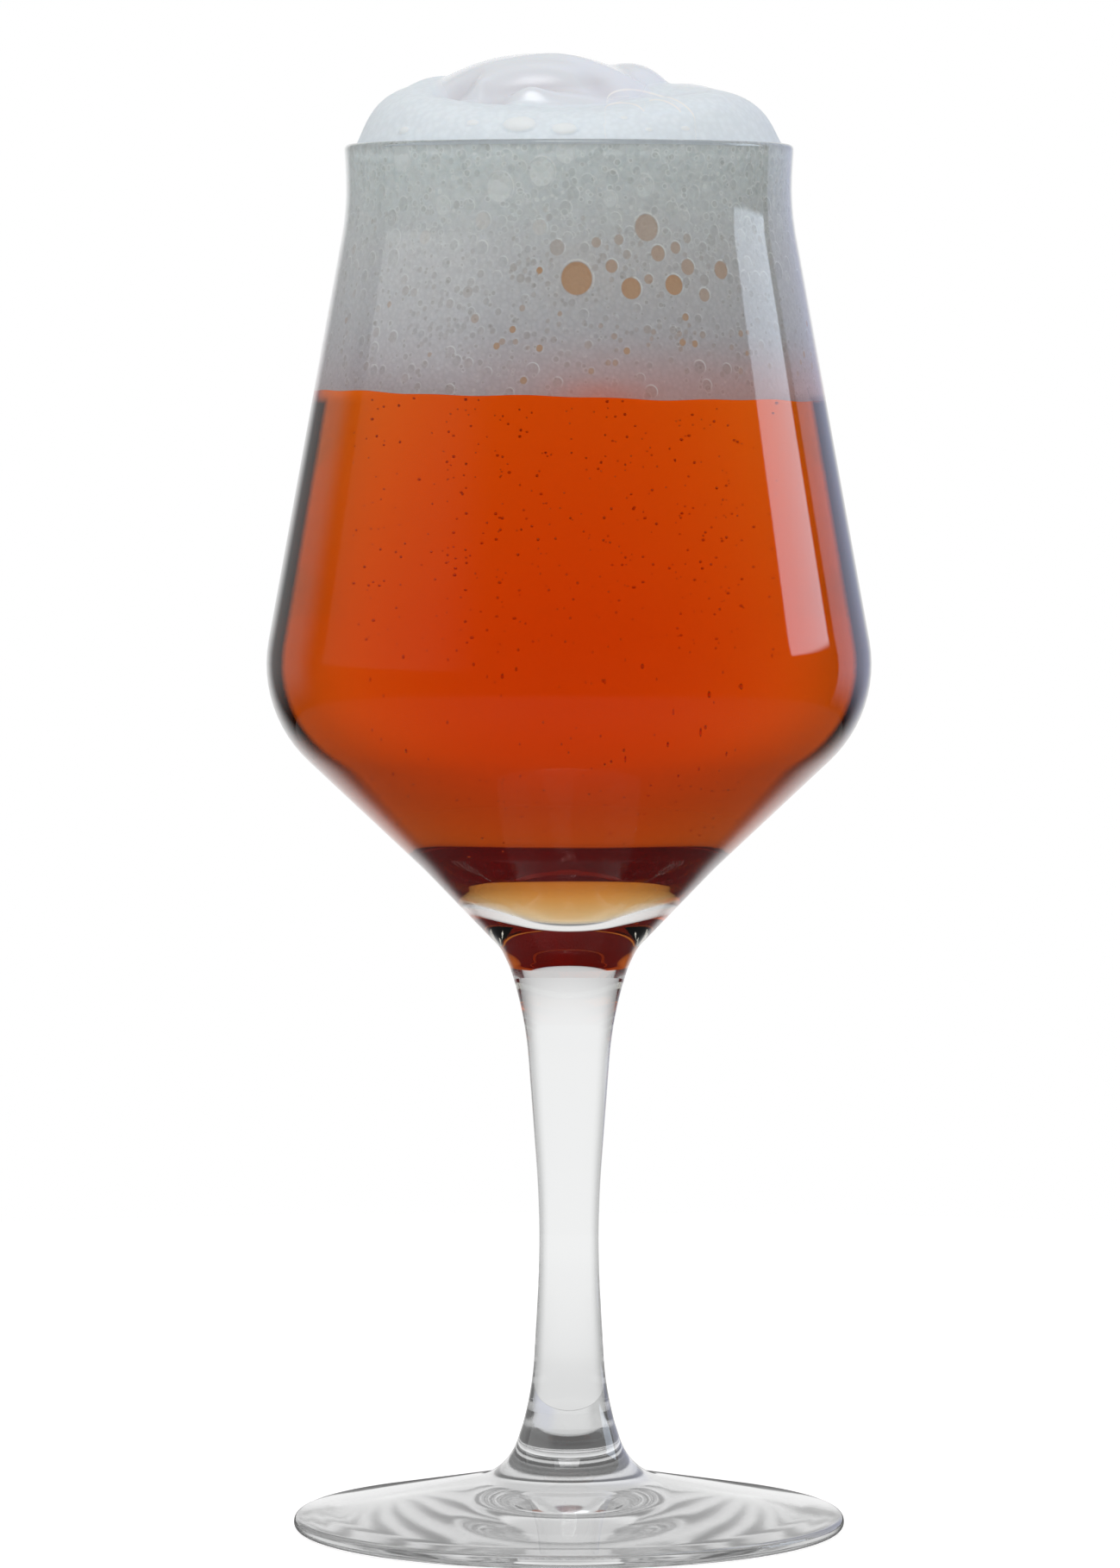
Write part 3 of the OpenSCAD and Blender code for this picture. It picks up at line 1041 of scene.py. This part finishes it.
def make_foam_cap(look):
    """Creamy mound above the rim, with the folds of its top and froth at its sides."""
    low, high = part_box("foam_cap")
    rim_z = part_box("bowl")[1].z
    turn = even_turn(look.cap_sides)
    out = np.sin(0.5 * math.pi * np.arange(look.cap_rings, 0, -1) / look.cap_rings)[:, None] * high.x
    x, y = out * np.cos(turn), out * np.sin(turn)
    rise, cream, hollow = mound_height(look, high.x, x, y)
    film = film_lines(x, y, rise)
    grid = np.dstack([x, y, rim_z + rise])
    disc = np.full(x.shape, NO_BUBBLE)
    for across, above, size in SKIRT_BUBBLES:
        column = int(np.argmin(np.abs(turn - math.tau + math.acos(across / (0.93 * high.x)))))
        row = int(np.argmin(np.abs(rise[:, column] - above)))
        middle = grid[row, column].copy()
        disc = np.minimum(disc, np.linalg.norm((grid - middle) * SKIRT_FLAT, axis=2) / size)
        swell(grid, middle, size, 0.25)
    peak, peak_cream, peak_hollow = mound_height(look, high.x, np.zeros(1), np.zeros(1))
    rings = [pole_at(low.z), ring_at(high.x, turn, low.z), *grid, pole_at(rim_z + peak[0])]
    points, faces, _ = ring_mesh(rings)
    piece = new_piece("foam_cap_dry", points, faces, [dry_foam_material(look)], sharp=60.0)
    edges = (0.0, 0.0, 1.0, NO_BUBBLE)
    peaks = (peak_cream, peak_hollow, [1.0], [NO_BUBBLE])
    for name, edge, values, top in zip(MOUND_MARKS, edges, (cream, hollow, film, disc), peaks):
        give_attribute(piece, name, np.concatenate([np.full(1 + len(turn), edge), values.ravel(), top]))
    seat(piece, "foam_cap")


# Stage


def seen_clearly(tree):
    """Light Path's outputs, and one that is 0 for light that only lights and 1 for what the camera sees."""
    path = add_node(tree, "LightPath").outputs
    seen = maths(tree, "MAXIMUM", path["Is Glossy Ray"], path["Is Transmission Ray"])
    seen = times(tree, seen, maths(tree, "LESS_THAN", path["Diffuse Depth"], 0.5))
    return path, maths(tree, "MAXIMUM", seen, path["Is Camera Ray"])


def mix_shaders(tree, factor, first, second):
    """Node that goes from one node's shader to another's."""
    return add_node(tree, "MixShader", {0: factor, 1: first.outputs[0], 2: second.outputs[0]})


def make_floor(look):
    """White floor that keeps the object's shadow, with painted shadow close to the glass in what that mirrors
    and bends.
    """
    material, tree, shader = new_material("white floor")
    path, seen = seen_clearly(tree)
    place = object_place(tree)
    away = add_node(tree, "VectorMath", {0: place}, operation="LENGTH").outputs["Value"]
    split = add_node(tree, "SeparateXYZ", {"Vector": place}).outputs
    beside = maths(tree, "ABSOLUTE", maths(tree, "ARCTAN2", split["X"], split["Y"]))
    # Painted shade: in what the glass mirrors, the floor is dark except far behind it
    far_back = times(tree, ramp(tree, away, 0.08, 0.25), ramp(tree, beside, 0.25, 0.85, 1.0, 0.0))
    bent = maths(tree, "GREATER_THAN", path["Glossy Depth"], 0.5)
    near = maths(tree, "SUBTRACT", FLOOR_SHADOWED, times(tree, bent, FLOOR_BENT))
    dim, pale = (add_node(tree, "BsdfDiffuse", {"Color": (grey, grey, grey, 1.0)}) for grey in FLOOR_GREYS)
    mirrored = ramp(tree, far_back, 0.0, 1.0, FLOOR_MIRRORED_SHADE, FLOOR_FAR)
    # Painted shadow: in what the glass bends, the floor is darker close to it
    through = ramp(tree, away, 0.06, 0.20, near, FLOOR_FAR)
    white, mirrored, through = (
        add_node(tree, "Emission", {"Strength": strength}) for strength in (0.6, mirrored, through)
    )
    plain = add_node(tree, "AddShader", {0: pale.outputs[0], 1: white.outputs[0]})
    shown = mix_shaders(tree, path["Is Transmission Ray"], mirrored, through)
    shown = mix_shaders(tree, path["Is Camera Ray"], shown, plain)
    shown = mix_shaders(tree, seen, dim, shown)
    feed(tree, tree.nodes["Material Output"], {"Surface": shown.outputs[0]})
    tree.nodes.remove(shader)
    points, faces, _ = ring_mesh(turned_rings([(0.0, FLOOR_Z), (look.floor_radius, FLOOR_Z)], 64))
    floor = new_piece("floor", points, [face[::-1] for face in faces], [material])


def toward(tree, sight, direction):
    """Output of how much a line of sight goes in a direction."""
    return add_node(tree, "VectorMath", {0: sight, 1: direction}, operation="DOT_PRODUCT").outputs["Value"]


def make_world(look):
    """White surroundings for the camera, and a studio round the glass for what it bends and reflects."""
    world = bpy.data.worlds.new("studio")
    bpy.context.scene.world = world
    world.use_nodes = True
    world.cycles.sampling_method = "NONE"
    tree = world.node_tree
    sight = add_node(tree, "TexCoord").outputs["Generated"]
    aim = add_node(tree, "SeparateXYZ", {"Vector": sight}).outputs
    around = maths(tree, "DEGREES", maths(tree, "ARCTAN2", aim["X"], aim["Y"]))
    beside = maths(tree, "ABSOLUTE", around)
    height = maths(tree, "DEGREES", maths(tree, "ARCSINE", aim["Z"]))
    path, seen = seen_clearly(tree)
    light = ramp(tree, toward(tree, sight, SOFT_FROM), -0.6, 1.0, look.shade_light, look.window_light)
    side_light = ramp(tree, toward(tree, sight, STRIP_FROM), 0.5, 1.0, 0.0, look.strip_light)
    light = maths(tree, "ADD", light, side_light)
    through = times(tree, ramp(tree, beside, 95, 140, 0.95, 0.75), ramp(tree, height, 5, 21, 1.0, 0.70))
    strip = times(tree, band(tree, around, 61, 86, 0.7), band(tree, height, 7.4, 31, 0.9))
    window = times(tree, ramp(tree, around, -150, -120), ramp(tree, around, -72.7, -71.3, 1.0, 0.0))
    window = times(tree, window, band(tree, height, 1, 40, 0.7))
    half_turn = maths(tree, "RADIANS", times(tree, beside, 0.5))
    above = maths(tree, "SUBTRACT", aim["Z"], times(tree, maths(tree, "SINE", half_turn), SILL))
    window = times(tree, window, ramp(tree, above, -0.004, 0.002, 0.14, 0.9))
    upper = times(tree, ramp(tree, beside, 148, 152), band(tree, height, 52, 68, 2))
    behind = times(tree, ramp(tree, beside, 14, 34, 1.0, 0.0), ramp(tree, height, 12, 40, 1.0, 0.55))
    raised = ramp(tree, height, -18, -1)
    left = times(tree, band(tree, around, -60, -20, 8), times(tree, raised, LEFT_LEVEL))
    right = times(tree, ramp(tree, around, 8, 24), ramp(tree, around, 55, 57, 1.0, 0.0))
    mirror = maths(tree, "ADD", maths(tree, "MAXIMUM", behind, left), window)
    mirror = maths(tree, "ADD", mirror, times(tree, upper, UPPER_LEVEL))
    mirror = blend(tree, times(tree, right, raised), mirror, look.side_glow)
    mirror = blend(tree, strip, mirror, [STRIP_LEVEL * channel for channel in look.strip_glow])
    view = blend(tree, path["Is Transmission Ray"], mirror, through)
    view = blend(tree, path["Is Camera Ray"], view, (1.0, 1.0, 1.0, 1.0))
    final = blend(tree, seen, light, view)
    feed(tree, tree.nodes["Background"], {"Color": final, "Strength": 1.0})


def make_lamp(look):
    """Soft lamp above the mound of foam."""
    data = bpy.data.lights.new("top lamp", "AREA")
    data.energy = look.lamp_power
    data.color = look.lamp_colour[:3]
    data.size = look.lamp_size
    lamp = linked("top lamp", data)
    lamp.location = LAMP_AT
    aim = Vector(LAMP_AIM) - lamp.location
    lamp.rotation_euler = aim.to_track_quat("-Z", "Y").to_euler()


def make_camera(look):
    """Camera at the photograph's place."""
    data = bpy.data.cameras.new("camera")
    data.sensor_fit = "VERTICAL"
    data.sensor_height = 36.0
    data.lens = look.lens
    data.clip_start = 0.01
    camera = linked("camera", data)
    camera.location = (look.camera_side, -look.camera_back, look.camera_up)
    pitch = math.atan2(look.camera_up - look.aim_up, look.camera_back)
    camera.rotation_euler = (0.5 * math.pi - pitch, 0.0, 0.0)
    bpy.context.scene.camera = camera


class TULIP_OT_glass(bpy.types.Operator):
    """Turn the bowl, the stem and the foot from the frame's own outlines"""

    bl_idname = "tulip.glass"
    bl_label = "Glass"

    def execute(self, context):
        make_glass(context.scene.tulip_glass)
        return {"FINISHED"}


class TULIP_OT_beer(bpy.types.Operator):
    """Fill the bowl with beer and its rising bubbles"""

    bl_idname = "tulip.beer"
    bl_label = "Beer"

    def execute(self, context):
        make_beer(context.scene.tulip_beer, context.scene.tulip_glass)
        return {"FINISHED"}


class TULIP_OT_foam_head(bpy.types.Operator):
    """Fill the glass with wet foam from the beer to the rim"""

    bl_idname = "tulip.foam_head"
    bl_label = "Wet foam"

    def execute(self, context):
        make_foam_head(context.scene.tulip_foam, context.scene.tulip_glass)
        return {"FINISHED"}


class TULIP_OT_foam_cap(bpy.types.Operator):
    """Set the creamy mound of foam on the rim"""

    bl_idname = "tulip.foam_cap"
    bl_label = "Foam mound"

    def execute(self, context):
        make_foam_cap(context.scene.tulip_foam)
        return {"FINISHED"}


class TULIP_OT_stage(bpy.types.Operator):
    """Set up the floor, the light and the camera"""

    bl_idname = "tulip.stage"
    bl_label = "Stage"

    def execute(self, context):
        look = context.scene.tulip_stage
        make_floor(look)
        make_world(look)
        make_lamp(look)
        make_camera(look)
        context.scene.view_settings.view_transform = "Standard"
        context.scene.cycles.blur_glossy = 0.0
        for name, value in BOUNCES.items():
            setattr(context.scene.cycles, name, value)
        return {"FINISHED"}


class TULIP_PT_parts(bpy.types.Panel):
    """Buttons that make the glass, one for each piece or group"""

    bl_idname = "TULIP_PT_parts"
    bl_label = "Tulip glass"
    bl_space_type = "VIEW_3D"
    bl_region_type = "UI"
    bl_category = "Tulip glass"

    def draw(self, context):
        for step in STEPS:
            self.layout.operator(step.bl_idname)


STEPS = (TULIP_OT_glass, TULIP_OT_beer, TULIP_OT_foam_head, TULIP_OT_foam_cap, TULIP_OT_stage)
SETTINGS = {
    "tulip_glass": GlassSettings,
    "tulip_beer": BeerSettings,
    "tulip_foam": FoamSettings,
    "tulip_stage": StageSettings,
}


def register():
    """Makes the settings, the operators and the panel known to Blender."""
    for name, group in SETTINGS.items():
        bpy.utils.register_class(group)
        setattr(bpy.types.Scene, name, PointerProperty(type=group))
    for kind in (*STEPS, TULIP_PT_parts):
        bpy.utils.register_class(kind)


def unregister():
    """Takes them away again."""
    for kind in reversed((*STEPS, TULIP_PT_parts)):
        bpy.utils.unregister_class(kind)
    for name, group in SETTINGS.items():
        delattr(bpy.types.Scene, name)
        bpy.utils.unregister_class(group)


def main():
    """Makes the whole scene."""
    register()
    bpy.ops.tulip.glass()
    bpy.ops.tulip.beer()
    bpy.ops.tulip.foam_head()
    bpy.ops.tulip.foam_cap()
    bpy.ops.tulip.stage()


if __name__ == "__main__":
    main()
